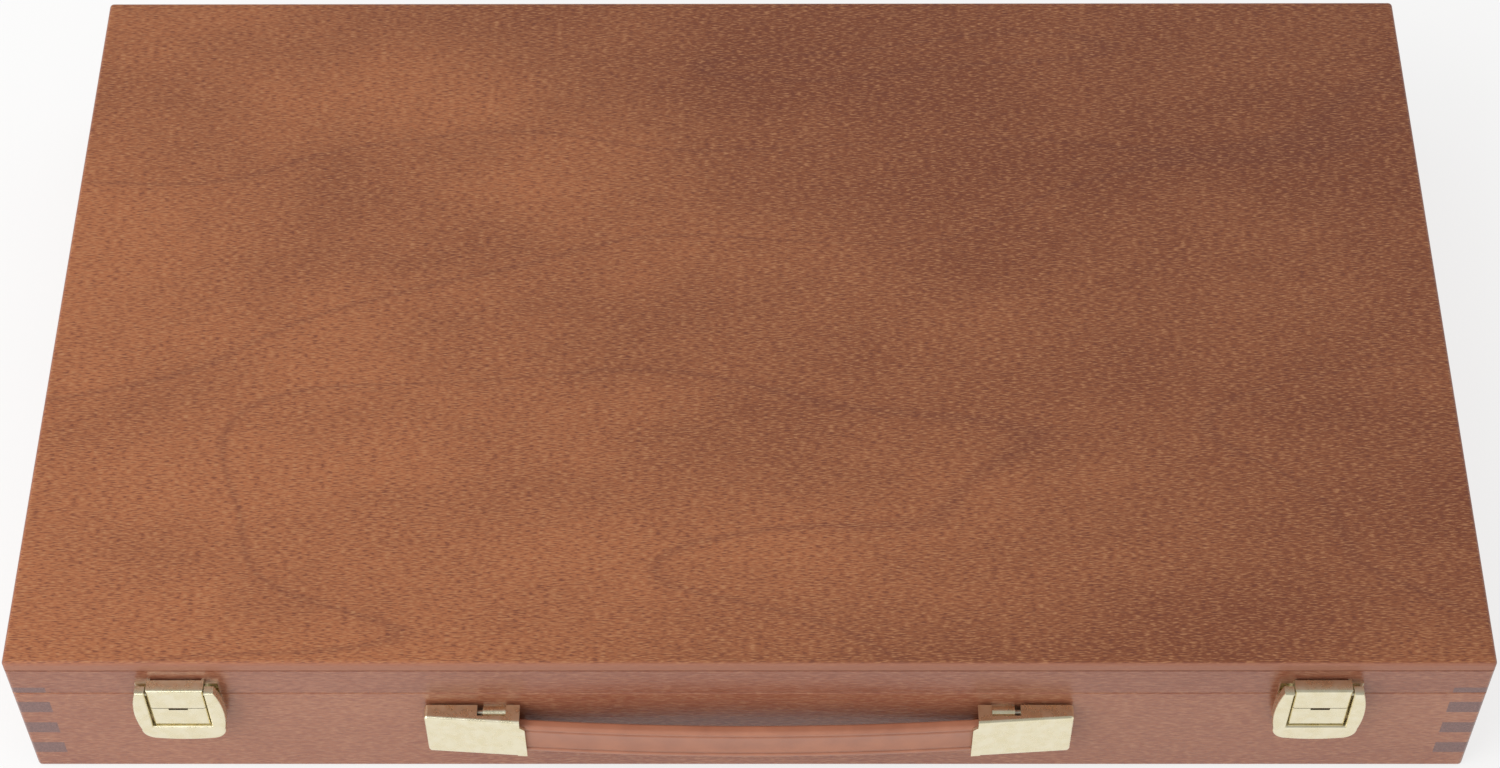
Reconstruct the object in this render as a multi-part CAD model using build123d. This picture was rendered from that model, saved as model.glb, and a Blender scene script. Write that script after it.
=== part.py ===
from build123d import *
import math
import os

# A wooden oil paint box: a finger-jointed base and lid, two bail latches, a strap handle,
# two butt hinges let into the back edge, plywood dividers and a palette kept in the lid.
# Sizes are in millimetres. X runs along the front, Y from front to back and Z up.
# The origin is the middle of the underside of the wooden box.

# Wooden case
box_length = 400.0
box_depth = 240.0
base_height = 39.5
lid_rail_height = 11.5
board_thickness = 9.5
top_panel_thickness = 4.0
bottom_panel_thickness = 4.0
bottom_panel_rebate = 4.5
corner_radius = 1.2
bottom_edge_radius = 0.8
top_edge_radius = 1.3
arris = 0.4

# Finger joints at the four corners
finger_height = 5.5
first_finger_height = 7.4
lid_finger_height = 3.0

# Bevelled back edges, which meet and hold the open lid
lid_open_angle = 100.0
bevel_relief_angle = 0.4
hinge_inset = 2.5

# Butt hinges
hinge_from_end = 80.0
hinge_leaf_length = 40.0
hinge_leaf_width = 6.6
hinge_leaf_thickness = 0.9
hinge_leaf_gap = 0.05
hinge_knuckle_count = 5
hinge_knuckle_radius = 1.8
hinge_knuckle_gap = 0.15
hinge_pin_radius = 0.9
hinge_screw_spacing = 24.0
hinge_screw_length = 8.0
hinge_screw_from_axis = 4.3
hinge_mortise_clearance = 0.15

# Fits
running_clearance = 0.05
swing_clearance = 0.25
screw_clearance = 0.03

# Countersunk screws for the hinges, latches and handle
screw_head_radius = 1.55
screw_shank_radius = 0.85
screw_head_height = 0.75
screw_slot_width = 0.4
screw_slot_depth = 0.3
front_screw_length = 7.0

# Dividers in the base
divider_thickness = 4.0
divider_height = 24.0
divider_groove = 1.5
cross_groove = 1.0
tube_tray_depth = 125.0
middle_tray_depth = 44.0
cross_divider_spacing = 130.0

# Palette, its spacers and its turn buttons in the lid
palette_end_gap = 10.5
palette_side_gap = 8.5
palette_thickness = 3.0
palette_corner_radius = 14.0
thumb_hole_length = 34.0
thumb_hole_width = 25.0
thumb_hole_from_end = 62.0
thumb_hole_from_front = 50.0
palette_spacer_thickness = 2.5
palette_spacer_width = 8.0
palette_spacer_inset = 6.0
palette_block_length = 24.0
palette_block_gap = 1.0
palette_play = 0.2
turn_button_width = 8.0
turn_button_reach = 14.0
turn_button_thickness = 2.0
turn_button_gap = 0.3
turn_screw_head_radius = 2.9
turn_screw_head_height = 1.3
turn_screw_shank_radius = 1.2
turn_screw_length = 7.0

# Latches: a housing on the lid, a housing on the base and a bail over both
latch_from_end = 45.7
latch_sheet = 0.8
latch_housing_width = 15.4
latch_housing_depth = 4.7
lid_housing_height = 8.1
base_housing_height = 8.8
latch_parting_gap = 0.12
latch_wall_gap = 0.8
latch_notch_width = 5.2
latch_notch_height = 0.8
latch_bend_radius = 0.9
latch_flange_width = 22.4
latch_lid_flange_height = 6.4
latch_base_flange_height = 11.5
latch_screw_spacing = 19.2
latch_lid_screw_height = 3.3
latch_base_screw_drop = 6.0
bail_depth = 2.8
bail_front = 5.5
bail_gap = 0.35
bail_width = 24.6
bail_top_width = 21.2
bail_bottom_width = 15.2
bail_top_height = 8.2
bail_widest_drop = 3.5
bail_shoulder_drop = 10.5
bail_shoulder_width = 23.0
bail_corner_width = 20.8
bail_corner_drop = 13.9
bail_side_drop = 15.2
bail_bottom_drop = 15.8
bail_bar_gap = 0.35
bail_edge_radius = 0.9
bail_pivot_height = 5.9
bail_pivot_out = 3.6
bail_pin_radius = 0.55
bail_pin_overhang = 0.6

# Handle: a strap between two folded caps, hung on two wall mounts
handle_length = 176.6
handle_cap_length = 26.0
handle_cap_height = 18.5
handle_cap_top_drop = 4.5
handle_cap_sheet = 0.8
handle_cap_back = 1.0
handle_cap_lip = 1.3
handle_cap_corner_radius = 1.8
handle_cap_edge_radius = 1.0
strap_height = 13.0
strap_thickness = 2.9
strap_bow = 2.1
strap_end_out = 4.65
strap_top_drop = 7.8
strap_edge_radius = 1.1
strap_end_gap = 0.8
strap_fit = 0.1
strap_groove_inset = 1.5
strap_groove_width = 0.5
strap_groove_depth = 0.3
strap_tab_height = 4.0
strap_tab_thickness = 0.6
handle_pivot_out = 2.4
handle_pivot_drop = 6.3
handle_pin_radius = 0.8
handle_knuckle_radius = 1.7
handle_knuckle_length = 6.2
handle_knuckle_inset = 3.8
handle_knuckle_play = 1.6
handle_ear_inset = 1.4
handle_mount_length = 21.0
handle_mount_height = 12.0
handle_mount_drop = 8.9
handle_mount_thickness = 0.8
handle_mount_screw_spacing = 13.0

# Places worked out from the sizes above
half_length = box_length / 2
half_depth = box_depth / 2
inside_x = half_length - board_thickness
inside_y = half_depth - board_thickness
parting = base_height
panel_under = parting + lid_rail_height
box_top = panel_under + top_panel_thickness
hinge_y = half_depth - hinge_inset
bevel_angle = lid_open_angle / 2 + bevel_relief_angle
bevel_height = hinge_inset * math.tan(math.radians(bevel_angle))
divider_top = bottom_panel_thickness + divider_height
palette_top = panel_under - palette_spacer_thickness
palette_under = palette_top - palette_thickness
block_under = palette_under - palette_play
palette_length = 2 * (inside_x - palette_end_gap)
palette_depth = 2 * (inside_y - palette_side_gap)
hinge_x = half_length - hinge_from_end
latch_x = half_length - latch_from_end
handle_half = handle_length / 2
cap_inner_x = handle_half - handle_cap_length
cap_top = parting - handle_cap_top_drop
cap_bottom = cap_top - handle_cap_height
strap_top = parting - strap_top_drop
strap_bottom = strap_top - strap_height
strap_radius = (cap_inner_x**2 + strap_bow**2) / (2 * strap_bow)
strap_slope = cap_inner_x / (strap_radius - strap_bow)
handle_pivot_z = parting - handle_pivot_drop
bail_pivot_z = parting + bail_pivot_height
SIDES = {"left": -1, "right": 1}


def block(x0, x1, y0, y1, z0, z1):
    """A box between two corners."""
    return Pos((x0 + x1) / 2, (y0 + y1) / 2, (z0 + z1) / 2) * Box(x1 - x0, y1 - y0, z1 - z0)


def front_block(x0, x1, out0, out1, z0, z1):
    """A box placed by how far it stands out from the front face."""
    return block(x0, x1, -half_depth - out1, -half_depth - out0, z0, z1)


def rod_x(radius, x0, x1, y, z):
    """A round bar along X."""
    return Pos((x0 + x1) / 2, y, z) * Rot(0, 90, 0) * Cylinder(radius, x1 - x0)


def prism_x(points, x0, x1):
    """A polygon of (y, z) points drawn out along X."""
    outline = Wire.make_polygon([(x0, y, z) for y, z in points], close=True)
    return extrude(Face(outline), amount=x1 - x0, dir=(1, 0, 0))


def prism_z(points, z0, z1):
    """A polygon of (x, y) points drawn out along Z."""
    outline = Wire.make_polygon([(x, y, z0) for x, y in points], close=True)
    return extrude(Face(outline), amount=z1 - z0, dir=(0, 0, 1))


def front_extrude(sketch, out0, out1):
    """A sketch of (x, z) points drawn out from the front face."""
    return extrude(Plane.XZ.offset(half_depth + out0) * sketch, amount=out1 - out0)


def save(shapes, name):
    """Writes one node, which may be a group of separate solids."""
    solids = [solid for shape in shapes for solid in shape.solids()]
    node = solids[0] if len(solids) == 1 else Compound(children=solids)
    node.label = name
    export_step(node, f"parts/{name}.step")


# Screws


def countersunk_screw(length, extra=0.0):
    """A screw pointing down with its head flush at the origin. Extra makes it wider, as the hole for it."""
    tip = 1.2
    head = Pos(0, 0, -screw_head_height / 2) * Cone(
        screw_shank_radius + extra, screw_head_radius + extra, screw_head_height
    )
    shank_length = length - screw_head_height - tip
    shank = Pos(0, 0, -screw_head_height - shank_length / 2) * Cylinder(
        screw_shank_radius + extra, shank_length
    )
    point = Pos(0, 0, -length + tip / 2) * Cone(0.25 + extra, screw_shank_radius + extra, tip)
    screw = head + shank + point
    if extra:
        return screw
    slot = Box(2 * screw_head_radius, screw_slot_width, 2 * screw_slot_depth)
    return screw - slot


def facing_front(shape, x, out, z):
    """Turns a shape that points down so that it points into the front face."""
    return Pos(x, -half_depth - out, z) * Rot(90, 0, 0) * shape


# Wooden case


def finger_spans():
    """The heights at which the side boards come through to the front and back of the base."""
    spans = []
    low = first_finger_height
    while low + finger_height <= parting:
        spans.append((low, low + finger_height))
        low += 2 * finger_height
    return spans


def base_envelope():
    """The outside of the base, with its rounded corners and softened edges."""
    body = extrude(RectangleRounded(box_length, box_depth, corner_radius), amount=parting)
    body = fillet(body.faces().sort_by(Axis.Z)[0].edges(), bottom_edge_radius)
    return chamfer(body.faces().sort_by(Axis.Z)[-1].edges(), arris)


def lid_envelope():
    """The outside of the lid's rails."""
    body = extrude(RectangleRounded(box_length, box_depth, corner_radius), amount=lid_rail_height)
    body = Pos(0, 0, parting) * body
    return chamfer(body.faces().sort_by(Axis.Z)[0].edges(), arris)


def back_bevel(direction):
    """The wedge cut off the back edge, below the parting line for the base and above it for the lid."""
    points = [
        (hinge_y, parting),
        (half_depth + 1, parting),
        (half_depth + 1, parting + direction * bevel_height * (1 + 1 / hinge_inset)),
    ]
    return prism_x(points, -half_length - 1, half_length + 1)


def long_board(side, z0, z1, spans):
    """A front or back board, with sockets at both ends for the side boards' fingers."""
    y_outer = side * half_depth
    y_inner = side * inside_y
    y0, y1 = sorted((y_outer, y_inner))
    board = block(-half_length, half_length, y0, y1, z0, z1)
    for low, high in spans:
        board -= block(-half_length, -inside_x, y0, y1, low, high)
        board -= block(inside_x, half_length, y0, y1, low, high)
    return board


def side_board(side, z0, z1, long_boards):
    """A left or right board, whose fingers fill what the long boards leave."""
    x0, x1 = sorted((side * half_length, side * inside_x))
    return block(x0, x1, -half_depth, half_depth, z0, z1) - long_boards


def bottom_panel():
    """The plywood bottom, let flush into a rebate under the four boards."""
    x = inside_x + bottom_panel_rebate
    y = inside_y + bottom_panel_rebate
    return block(-x, x, -y, y, 0, bottom_panel_thickness)


def top_panel():
    """The plywood top, glued over the rails, with its edge showing all round."""
    body = extrude(RectangleRounded(box_length, box_depth, corner_radius), amount=top_panel_thickness)
    body = Pos(0, 0, panel_under) * body
    body = fillet(body.faces().sort_by(Axis.Z)[-1].edges(), top_edge_radius)
    return chamfer(body.faces().sort_by(Axis.Z)[0].edges(), arris)


# Dividers


def divider_places():
    """The front faces of the two long dividers."""
    front_one = -inside_y + tube_tray_depth
    back_one = front_one + divider_thickness + middle_tray_depth
    return front_one, back_one


def long_divider(y, extra=0.0):
    """A divider along the whole base, with its ends in grooves in the side boards."""
    x = inside_x + divider_groove
    return block(-x, x, y - extra, y + divider_thickness + extra, bottom_panel_thickness, divider_top)


def cross_divider(x, y0, y1):
    """A divider from front to back between two boards."""
    half = divider_thickness / 2
    return block(x - half, x + half, y0, y1, bottom_panel_thickness, divider_top)


def dividers():
    """All five dividers by name, the long ones grooved for the cross ones."""
    front_y, back_y = divider_places()
    tube_y0 = -inside_y - divider_groove
    tube_y1 = front_y + cross_groove
    middle_y0 = front_y + divider_thickness - cross_groove
    middle_y1 = back_y + cross_groove
    half = cross_divider_spacing / 2
    left = cross_divider(-half, tube_y0, tube_y1)
    right = cross_divider(half, tube_y0, tube_y1)
    middle = cross_divider(0, middle_y0, middle_y1)
    return {
        "long_divider_front": long_divider(front_y) - left - right - middle,
        "long_divider_back": long_divider(back_y) - middle,
        "cross_divider_left": left,
        "cross_divider_right": right,
        "cross_divider_middle": middle,
    }


# Hinges


def knuckle_spans(first):
    """The X spans of every second knuckle, counted from the first or the second."""
    pitch = hinge_leaf_length / hinge_knuckle_count
    start = -hinge_leaf_length / 2
    numbers = range(first, hinge_knuckle_count, 2)
    return [(start + n * pitch, start + (n + 1) * pitch) for n in numbers]


def hinge_screw_xs():
    return (-hinge_screw_spacing / 2, hinge_screw_spacing / 2)


def hinge_screw(x, direction, extra=0.0):
    """A screw down into the base's board or, turned over, up into the lid's rail."""
    screw = countersunk_screw(hinge_screw_length, extra)
    if direction > 0:
        screw = Rot(180, 0, 0) * screw
    return Pos(x, hinge_y - hinge_screw_from_axis, parting + direction * hinge_leaf_gap) * screw


def hinge_leaf(direction, own_first):
    """One leaf, below the parting line for the base (-1) or above it for the lid (1)."""
    z_near = parting + direction * hinge_leaf_gap
    z_far = z_near + direction * hinge_leaf_thickness
    z0, z1 = sorted((z_near, z_far))
    half = hinge_leaf_length / 2
    leaf = block(-half, half, hinge_y - hinge_leaf_width, hinge_y, z0, z1)
    leaf -= rod_x(hinge_knuckle_radius + swing_clearance, -half, half, hinge_y, parting)
    for x0, x1 in knuckle_spans(own_first):
        low = x0 if x0 <= -half else x0 + hinge_knuckle_gap
        high = x1 if x1 >= half else x1 - hinge_knuckle_gap
        neck_y = hinge_y - hinge_knuckle_radius - swing_clearance
        leaf += rod_x(hinge_knuckle_radius, low, high, hinge_y, parting)
        leaf += block(low, high, neck_y, hinge_y - hinge_pin_radius, z0, z1)
    leaf -= rod_x(hinge_pin_radius + running_clearance, -half, half, hinge_y, parting)
    for x in hinge_screw_xs():
        leaf -= hinge_screw(x, direction, screw_clearance)
    return leaf


def hinge_pocket(direction):
    """What a hinge takes out of the wood on one side of the parting line."""
    half = hinge_leaf_length / 2 + hinge_mortise_clearance
    depth = hinge_leaf_gap + hinge_leaf_thickness
    z0, z1 = sorted((parting, parting + direction * depth))
    y0 = hinge_y - hinge_leaf_width - hinge_mortise_clearance
    pocket = block(-half, half, y0, hinge_y, z0, z1)
    pocket += rod_x(hinge_knuckle_radius + swing_clearance, -half, half, hinge_y, parting)
    for x in hinge_screw_xs():
        pocket += hinge_screw(x, direction, screw_clearance)
    return pocket


def hinge_xs():
    return {name: side * hinge_x for name, side in SIDES.items()}


# Latches


def latch_xs():
    return {name: side * latch_x for name, side in SIDES.items()}


def housing(z0, z1, closed_above):
    """A pressed housing, open at the parting line and towards the wood."""
    half = latch_housing_width / 2
    body = front_block(-half, half, 0, latch_housing_depth, z0, z1)
    front_face = body.faces().sort_by(Axis.Y)[0]
    open_edge = front_face.edges().sort_by(Axis.Z)[0 if closed_above else -1]
    body = fillet([e for e in front_face.edges() if e != open_edge], latch_bend_radius)
    inner_half = half - latch_sheet
    low = z0 - 1 if closed_above else z0 + latch_sheet
    high = z1 - latch_sheet if closed_above else z1 + 1
    return body - front_block(-inner_half, inner_half, -1, latch_housing_depth - latch_sheet, low, high)


def latch_lid_plate():
    """The lid's half of a latch, which carries the bail's pins."""
    z0 = parting + latch_parting_gap
    z1 = z0 + lid_housing_height
    plate = housing(z0, z1, closed_above=True)
    half = latch_flange_width / 2
    inner = latch_housing_width / 2 - latch_sheet
    flange_top = z0 + latch_lid_flange_height
    plate += front_block(-half, -inner, 0, latch_sheet, z0, flange_top)
    plate += front_block(inner, half, 0, latch_sheet, z0, flange_top)
    plate -= front_block(-half, half, -1, latch_wall_gap, z1 - latch_sheet, z1 + 1)
    for pin in bail_pins(running_clearance):
        plate -= pin
    for x in latch_screw_xs():
        plate -= latch_lid_screw(x, screw_clearance)
    return plate


def latch_base_plate():
    """The base's half of a latch. The bail's bar catches under its lower edge."""
    z1 = parting - latch_parting_gap
    z0 = z1 - base_housing_height
    plate = housing(z0, z1, closed_above=False)
    half = latch_flange_width / 2
    inner = latch_housing_width / 2 - latch_sheet
    flange_bottom = z1 - latch_base_flange_height
    plate += front_block(-half, -inner, 0, latch_sheet, flange_bottom, z1)
    plate += front_block(inner, half, 0, latch_sheet, flange_bottom, z1)
    plate += front_block(-half, half, 0, latch_sheet, flange_bottom, z0 + latch_sheet)
    notch_half = latch_notch_width / 2
    plate -= front_block(
        -notch_half, notch_half, latch_sheet, latch_housing_depth + 1, z1 - latch_notch_height, z1 + 1
    )
    for x in latch_screw_xs():
        plate -= latch_base_screw(x, screw_clearance)
    return plate


def latch_screw_xs():
    return (-latch_screw_spacing / 2, latch_screw_spacing / 2)


def latch_lid_screw(x, extra=0.0):
    return facing_front(
        countersunk_screw(front_screw_length, extra), x, latch_sheet, parting + latch_lid_screw_height
    )


def latch_base_screw(x, extra=0.0):
    return facing_front(
        countersunk_screw(front_screw_length, extra), x, latch_sheet, parting - latch_base_screw_drop
    )


def bail_pins(extra=0.0):
    """The two short pins in the sides of the lid's housing on which the bail turns."""
    radius = bail_pin_radius + extra
    inner = latch_housing_width / 2 - latch_sheet - extra
    outer = latch_housing_width / 2 + bail_gap + latch_sheet + bail_pin_overhang
    y = -half_depth - bail_pivot_out
    return [rod_x(radius, x0, x1, y, bail_pivot_z) for x0, x1 in ((-outer, -inner), (inner, outer))]


def bail_outline(inset=0.0):
    """The U-shaped front of the bail, wide at the middle and narrower at its foot."""
    top = (bail_top_width / 2 - inset, parting + bail_top_height - inset)
    widest = (bail_width / 2 - inset, parting - bail_widest_drop)
    shoulder = (bail_shoulder_width / 2 - inset, parting - bail_shoulder_drop)
    corner = (bail_corner_width / 2 - 0.7 * inset, parting - bail_corner_drop + 0.7 * inset)
    foot = (bail_bottom_width / 2 - 0.3 * inset, parting - bail_side_drop + inset)
    bottom = (0, parting - bail_bottom_drop + inset)

    def mirrored(point):
        return (-point[0], point[1])

    edges = [
        ThreePointArc(top, widest, shoulder),
        ThreePointArc(shoulder, corner, foot),
        ThreePointArc(foot, bottom, mirrored(foot)),
        ThreePointArc(mirrored(foot), mirrored(corner), mirrored(shoulder)),
        ThreePointArc(mirrored(shoulder), mirrored(widest), mirrored(top)),
        Line(mirrored(top), top),
    ]
    shield = make_face(Curve() + edges)
    opening_half = latch_housing_width / 2 + bail_gap + inset
    opening_low = parting - latch_parting_gap - base_housing_height - bail_bar_gap - inset
    opening_high = parting + bail_top_height + 1
    opening = Pos(0, (opening_low + opening_high) / 2) * Rectangle(
        2 * opening_half, opening_high - opening_low
    )
    return shield - opening


def latch_bail():
    """The bail: a sheet frame with turned-back rims, holed for its pins."""
    back = bail_front - bail_depth
    bail = front_extrude(bail_outline(), back, bail_front)
    front_face = bail.faces().sort_by(Axis.Y)[0]
    bail = fillet(front_face.outer_wire().edges(), bail_edge_radius)
    bail -= front_extrude(bail_outline(latch_sheet), back - 1, bail_front - latch_sheet)
    for pin in bail_pins(running_clearance):
        bail -= pin
    return bail


# Handle


def strap_centre_out(x):
    """How far the strap's centre line stands out: an arc between the caps and straight inside them."""
    if abs(x) <= cap_inner_x:
        sag = strap_radius - math.sqrt(strap_radius**2 - x**2)
        return strap_end_out + strap_bow - sag
    return strap_end_out - (abs(x) - cap_inner_x) * strap_slope


def strap_band(offset_in, offset_out, x_end):
    """The plan of a band that follows the strap, between two offsets from its centre line."""

    def point(x, shift):
        return (x, -half_depth - strap_centre_out(x) - shift)

    def side(shift):
        ends = [point(-x_end, shift), point(-cap_inner_x, shift)]
        middle = ThreePointArc(ends[1], point(0, shift), point(cap_inner_x, shift))
        return [Line(ends[0], ends[1]), middle, Line(point(cap_inner_x, shift), point(x_end, shift))]

    closing = [
        Line(point(-x_end, offset_in), point(-x_end, offset_out)),
        Line(point(x_end, offset_in), point(x_end, offset_out)),
    ]
    return make_face(Curve() + side(offset_in) + side(offset_out) + closing)


def handle_strap():
    """The moulded strap, with a groove near each long edge."""
    half = strap_thickness / 2
    x_end = handle_half - handle_cap_sheet - strap_end_gap
    strap = Pos(0, 0, strap_bottom) * extrude(strap_band(-half, half, x_end), amount=strap_height)
    long_edges = [e for e in strap.edges() if abs(e.position_at(0).Z - e.position_at(1).Z) < 0.01]
    long_edges = [e for e in long_edges if e.length > strap_thickness + 0.5]
    strap = fillet(long_edges, strap_edge_radius)
    groove_plan = strap_band(half - strap_groove_depth, half + 1, cap_inner_x + 2 * handle_cap_lip)
    for low in (
        strap_bottom + strap_groove_inset,
        strap_top - strap_groove_inset - strap_groove_width,
    ):
        strap -= Pos(0, 0, low) * extrude(groove_plan, amount=strap_groove_width)
    return strap


def cap_front_out(x):
    """The cap's outer front surface, parallel to the strap inside it."""
    across = strap_thickness / 2 + strap_fit + handle_cap_sheet
    return strap_end_out - (x - cap_inner_x) * strap_slope + across


def cap_plan(x0, x1, shift):
    """The cap's footprint from the wood side to its slanting front."""
    return [
        (x0, -half_depth - handle_cap_back),
        (x1, -half_depth - handle_cap_back),
        (x1, -half_depth - cap_front_out(x1) - shift),
        (x0, -half_depth - cap_front_out(x0) - shift),
    ]


def handle_cap():
    """The right-hand cap: front, top, foot and outer end folded from one sheet."""
    sheet = handle_cap_sheet
    cap = prism_z(cap_plan(cap_inner_x, handle_half, 0), cap_bottom, cap_top)
    outer_upright = [e for e in cap.edges().filter_by(Axis.Z) if e.position_at(0).X > cap_inner_x + 1]
    front_upright = [e for e in outer_upright if e.position_at(0).Y < -half_depth - handle_cap_back - 1]
    cap = fillet(front_upright, handle_cap_edge_radius)
    outer_foot = cap.faces().sort_by(Axis.X)[-1].edges().sort_by(Axis.Z)[0]
    cap = fillet(outer_foot, handle_cap_corner_radius)
    front_face = cap.faces().sort_by(Axis.Y)[0]
    level = [e for e in front_face.edges() if abs(e.position_at(0).Z - e.position_at(1).Z) < 0.01]
    cap = fillet(level, handle_cap_edge_radius)
    hollow = [
        (cap_inner_x - 1, -half_depth + 1),
        (handle_half - sheet, -half_depth + 1),
        (handle_half - sheet, -half_depth - cap_front_out(handle_half - sheet) + sheet),
        (cap_inner_x - 1, -half_depth - cap_front_out(cap_inner_x - 1) + sheet),
    ]
    cap -= prism_z(hollow, cap_bottom + sheet, cap_top - sheet)
    cap += cap_lip() + cap_tab() + cap_ear()
    cap -= handle_pin(running_clearance)
    slot_x0 = cap_inner_x + handle_knuckle_inset - running_clearance
    slot_x1 = slot_x0 + handle_knuckle_length + handle_knuckle_play
    slot_out = handle_pivot_out + handle_knuckle_radius + swing_clearance
    return cap - front_block(slot_x0, slot_x1, 0, slot_out, handle_pivot_z, cap_top + 1)


def cap_lip():
    """The front sheet's edge, which reaches a little past the top fold towards the strap."""
    x0 = cap_inner_x - handle_cap_lip
    x1 = cap_inner_x + handle_cap_lip
    plan = [
        (x0, -half_depth - cap_front_out(x0)),
        (x1, -half_depth - cap_front_out(x1)),
        (x1, -half_depth - cap_front_out(x1) + handle_cap_sheet),
        (x0, -half_depth - cap_front_out(x0) + handle_cap_sheet),
    ]
    high = cap_top - 2 * handle_cap_lip
    lip = prism_z(plan, cap_bottom + handle_cap_edge_radius, high)
    corner = lip.edges().filter_by(Axis.Y, tolerance=10).sort_by(Axis.X)
    top_corner = [e for e in corner[:4] if e.position_at(0).Z > high - 0.01]
    top_corner = [e for e in top_corner if e.position_at(0).X < x0 + 0.01]
    return chamfer(top_corner, handle_cap_lip * 0.8)


def cap_tab():
    """The foot's tab, folded up behind the strap."""
    x0 = cap_inner_x + handle_cap_lip
    x1 = handle_half - handle_cap_sheet
    across = strap_thickness / 2 + strap_fit

    def out(x):
        return strap_end_out - (x - cap_inner_x) * strap_slope - across

    plan = [
        (x0, -half_depth - out(x0)),
        (x1, -half_depth - out(x1)),
        (x1, -half_depth - out(x1) + strap_tab_thickness),
        (x0, -half_depth - out(x0) + strap_tab_thickness),
    ]
    return prism_z(plan, cap_bottom, cap_bottom + strap_tab_height)


def cap_ear():
    """The ear under the cap's top that holds the pin's inner end."""
    x0 = cap_inner_x + handle_ear_inset
    x1 = x0 + handle_cap_sheet
    front = handle_pivot_out + 1.5 * handle_pin_radius
    return front_block(x0, x1, handle_cap_back, front, strap_top + strap_fit, cap_top - handle_cap_sheet)


def handle_pin(extra=0.0):
    """The right-hand pin, from the cap's ear through the mount's knuckle to the cap's outer end."""
    x0 = cap_inner_x + handle_ear_inset - extra
    x1 = handle_half - handle_cap_sheet / 4 + extra
    return rod_x(handle_pin_radius + extra, x0, x1, -half_depth - handle_pivot_out, handle_pivot_z)


def mount_screw_places():
    """The X places and the height of the right-hand mount's screws."""
    middle = (cap_inner_x + handle_half) / 2
    half = handle_mount_screw_spacing / 2
    z = parting - handle_mount_drop - handle_mount_height / 2
    return [(middle - half, z), (middle + half, z)]


def mount_screw(x, z, extra=0.0):
    return facing_front(countersunk_screw(front_screw_length, extra), x, handle_mount_thickness, z)


def handle_mount():
    """The right-hand mount: a plate on the wood, hidden by the cap, with a knuckle for the pin."""
    middle = (cap_inner_x + handle_half) / 2
    half = handle_mount_length / 2
    high = parting - handle_mount_drop
    low = high - handle_mount_height
    mount = front_block(middle - half, middle + half, 0, handle_mount_thickness, low, high)
    x0 = cap_inner_x + handle_knuckle_inset
    x1 = x0 + handle_knuckle_length
    neck_z = handle_pivot_z + handle_mount_thickness / 2
    mount += front_block(x0, x1, 0, handle_mount_thickness, high - 1, neck_z)
    mount += front_block(x0, x1, 0, handle_pivot_out, neck_z - handle_mount_thickness, neck_z)
    mount += rod_x(handle_knuckle_radius, x0, x1, -half_depth - handle_pivot_out, handle_pivot_z)
    mount -= handle_pin(running_clearance)
    for x, z in mount_screw_places():
        mount -= mount_screw(x, z, screw_clearance)
    return mount


def mirror_side(shape, side):
    """Keeps a right-hand shape, or mirrors it for the left."""
    return shape if side > 0 else mirror(shape, about=Plane.YZ)


# Palette and its turn buttons


def palette():
    """The plywood palette, with a thumb hole."""
    outline = RectangleRounded(palette_length, palette_depth, palette_corner_radius)
    hole_x = palette_length / 2 - thumb_hole_from_end
    hole_y = thumb_hole_from_front - palette_depth / 2
    outline -= Pos(hole_x, hole_y) * Ellipse(thumb_hole_length / 2, thumb_hole_width / 2)
    return Pos(0, 0, palette_under) * extrude(outline, amount=palette_thickness)


def palette_spacer(side):
    """A strip glued under the top panel that keeps the palette off it."""
    x = side * (palette_length / 2 - palette_spacer_inset - palette_spacer_width / 2)
    half = palette_spacer_width / 2
    y = palette_depth / 2 - palette_corner_radius
    return block(x - half, x + half, -y, y, palette_top, panel_under)


def button_x(side):
    """Where a turn button's screw stands, in the middle of its block."""
    return side * (palette_length / 2 + palette_block_gap + inside_x) / 2


def palette_block(side):
    """The block beside the palette that carries a turn button."""
    x0, x1 = sorted((side * (palette_length / 2 + palette_block_gap), side * inside_x))
    half = palette_block_length / 2
    return block(x0, x1, -half, half, block_under, panel_under) - turn_screw(side, screw_clearance)


def turn_button(side):
    """A brass button over the palette's edge. It turns on its screw to free the palette."""
    half = turn_button_width / 2
    reach = turn_button_reach
    plan = Pos(-side * reach / 2, 0) * Rectangle(reach, turn_button_width)
    plan += Circle(half)
    plan += Pos(-side * reach, 0) * Circle(half)
    plan -= Circle(turn_screw_shank_radius + running_clearance)
    button = extrude(plan, amount=turn_button_thickness)
    return Pos(button_x(side), 0, block_under - turn_button_gap - turn_button_thickness) * button


def turn_screw(side, extra=0.0):
    """The round-headed screw of a turn button, head down."""
    head_top = block_under - 2 * turn_button_gap - turn_button_thickness
    shank = Pos(0, 0, turn_screw_length / 2) * Cylinder(turn_screw_shank_radius + extra, turn_screw_length)
    if extra:
        return Pos(button_x(side), 0, head_top) * shank
    head = Pos(0, 0, -turn_screw_head_height / 2) * Cylinder(turn_screw_head_radius, turn_screw_head_height)
    head = fillet(head.edges().sort_by(Axis.Z)[0], turn_screw_head_height * 0.7)
    slot = Pos(0, 0, -turn_screw_head_height) * Box(3 * turn_screw_head_radius, 0.8, 1.0)
    return Pos(button_x(side), 0, head_top) * (head + shank - slot)


# Putting the nodes together


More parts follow.
